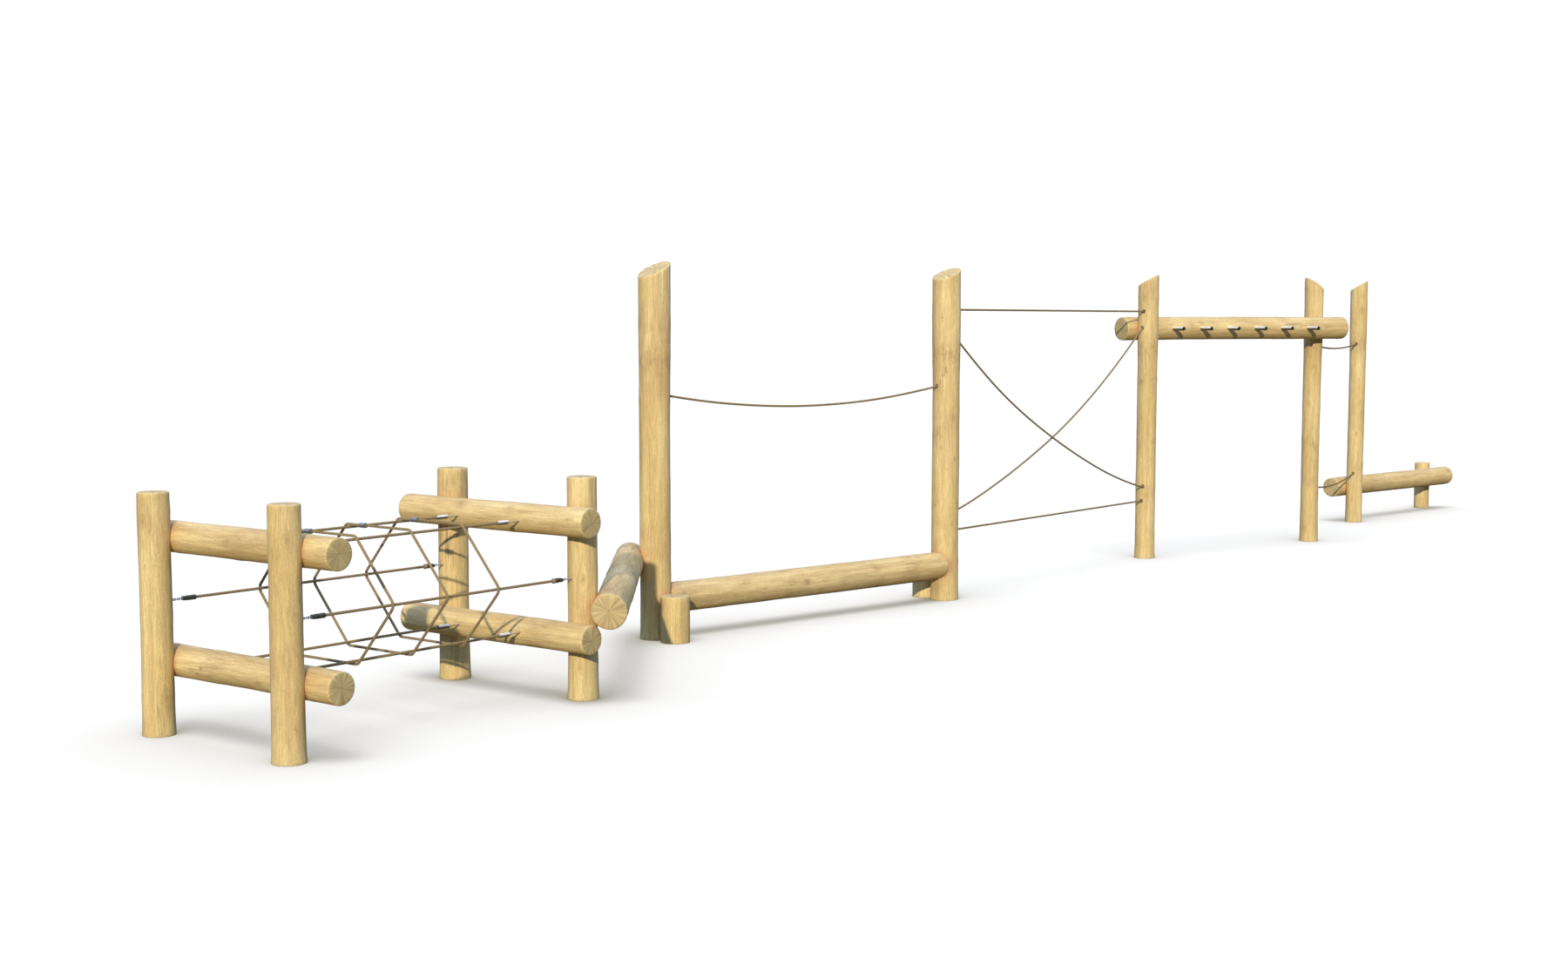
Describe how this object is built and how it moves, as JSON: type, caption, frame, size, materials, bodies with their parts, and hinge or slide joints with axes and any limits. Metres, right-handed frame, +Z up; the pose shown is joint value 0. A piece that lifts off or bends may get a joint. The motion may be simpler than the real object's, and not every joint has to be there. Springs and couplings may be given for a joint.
{
  "type": "timber climbing trail",
  "caption": "Playground trail of round posts and logs: hooped rope net tunnel, link log, balance beam, crossed-rope panel, overhead log with hand pegs, swinging ropes and a low end beam.",
  "frame": {"origin": "on the ground under the middle of the trail", "axes": "+X along the trail from the rope tunnel to the low end beam, +Y to the left of it, +Z up"},
  "size_m": [16.1652, 1.7638, 2.4951],
  "materials": {
    "post_wood": "peeled round timber, satin, fine checks and knots",
    "beam_wood": "peeled round timber laid level, radial end grain",
    "rope": "laid six-strand rope, brown, matt",
    "rope_knot": "bound rope stopper, matt",
    "bright_steel": "bright stainless",
    "blue_clamp": "blue-grey coated",
    "dark_metal": "dark olive-grey coated",
    "chain_steel": "galvanised wire",
    "black_plastic": "matt black plug",
    "zinc_steel": "zinc plated",
    "socket_steel": "dull galvanised"
  },
  "bodies": {
    "trail": {"balance_beam": "beam_wood", "balance_beam_dowels": "zinc_steel", "end_beam": "beam_wood", "end_post": "post_wood", "fork_pins": "dark_metal", "frame_a_beam_lower": "beam_wood", "frame_a_beam_upper": "beam_wood", "frame_a_post_left": "post_wood", "frame_a_post_right": "post_wood", "frame_b_beam_lower": "beam_wood", "frame_b_beam_upper": "beam_wood", "frame_b_post_left": "post_wood", "frame_b_post_right": "post_wood", "frame_screws": "zinc_steel", "hand_pegs": "bright_steel", "hoop_clamps": "blue_clamp", "link_log": "beam_wood", "log_screws": "zinc_steel", "net_hoop_1": "rope", "net_hoop_2": "rope", "net_hoop_3": "rope", "net_rope_bottom_left": "rope", "net_rope_bottom_right": "rope", "net_rope_side_left": "rope", "net_rope_side_right": "rope", "net_rope_top_left": "rope", "net_rope_top_right": "rope", "net_sleeves": "bright_steel", "net_studs": "zinc_steel", "overhead_log": "beam_wood", "panel_rope_bottom": "rope", "panel_rope_ends": "socket_steel", "panel_rope_top": "rope", "peg_caps": "black_plastic", "post_eyes": "chain_steel", "rope_sockets": "socket_steel", "side_chains": "chain_steel", "side_ferrules_long": "dark_metal", "side_ferrules_short": "dark_metal", "side_knobs": "rope_knot", "step_stub_1": "post_wood", "step_stub_2": "post_wood", "tall_post_1": "post_wood", "tall_post_2": "post_wood", "tall_post_3": "post_wood", "tall_post_4": "post_wood", "tall_post_5": "post_wood"},
    "hand_rope": {"hand_rope": "rope", "hand_rope_ends": "socket_steel"},
    "cross_rope_1": {"cross_rope_1": "rope", "cross_rope_1_ends": "socket_steel"},
    "cross_rope_2": {"cross_rope_2": "rope", "cross_rope_2_ends": "socket_steel"},
    "link_rope_upper": {"link_rope_upper": "rope", "link_rope_upper_ends": "socket_steel"},
    "link_rope_lower": {"link_rope_lower": "rope", "link_rope_lower_ends": "socket_steel"}
  },
  "joints": [
    {"name": "hand_rope_swing", "type": "hinge", "parent": "trail", "child": "hand_rope", "pos_m": [-4.0786, 0.5128, 1.616], "axis": [0.9837, -0.1798, -0.0008], "range_deg": [-60, 60]},
    {"name": "cross_rope_1_swing", "type": "hinge", "parent": "trail", "child": "cross_rope_1", "pos_m": [-1.3532, 0.017, 1.995], "axis": [0.9158, 0.0053, -0.4015], "range_deg": [-45, 2]},
    {"name": "cross_rope_2_swing", "type": "hinge", "parent": "trail", "child": "cross_rope_2", "pos_m": [-1.3534, 0.043, 0.64], "axis": [0.9118, 0.0053, 0.4106], "range_deg": [-2, 45]},
    {"name": "link_rope_upper_swing", "type": "hinge", "parent": "trail", "child": "link_rope_upper", "pos_m": [4.0268, -0.5589, 1.86], "axis": [0.9847, 0.1739, -0.0059], "range_deg": [-60, 60]},
    {"name": "link_rope_lower_swing", "type": "hinge", "parent": "trail", "child": "link_rope_lower", "pos_m": [4.0268, -0.5589, 0.512], "axis": [0.9848, 0.1739, -0.0021], "range_deg": [-60, 60]}
  ]
}
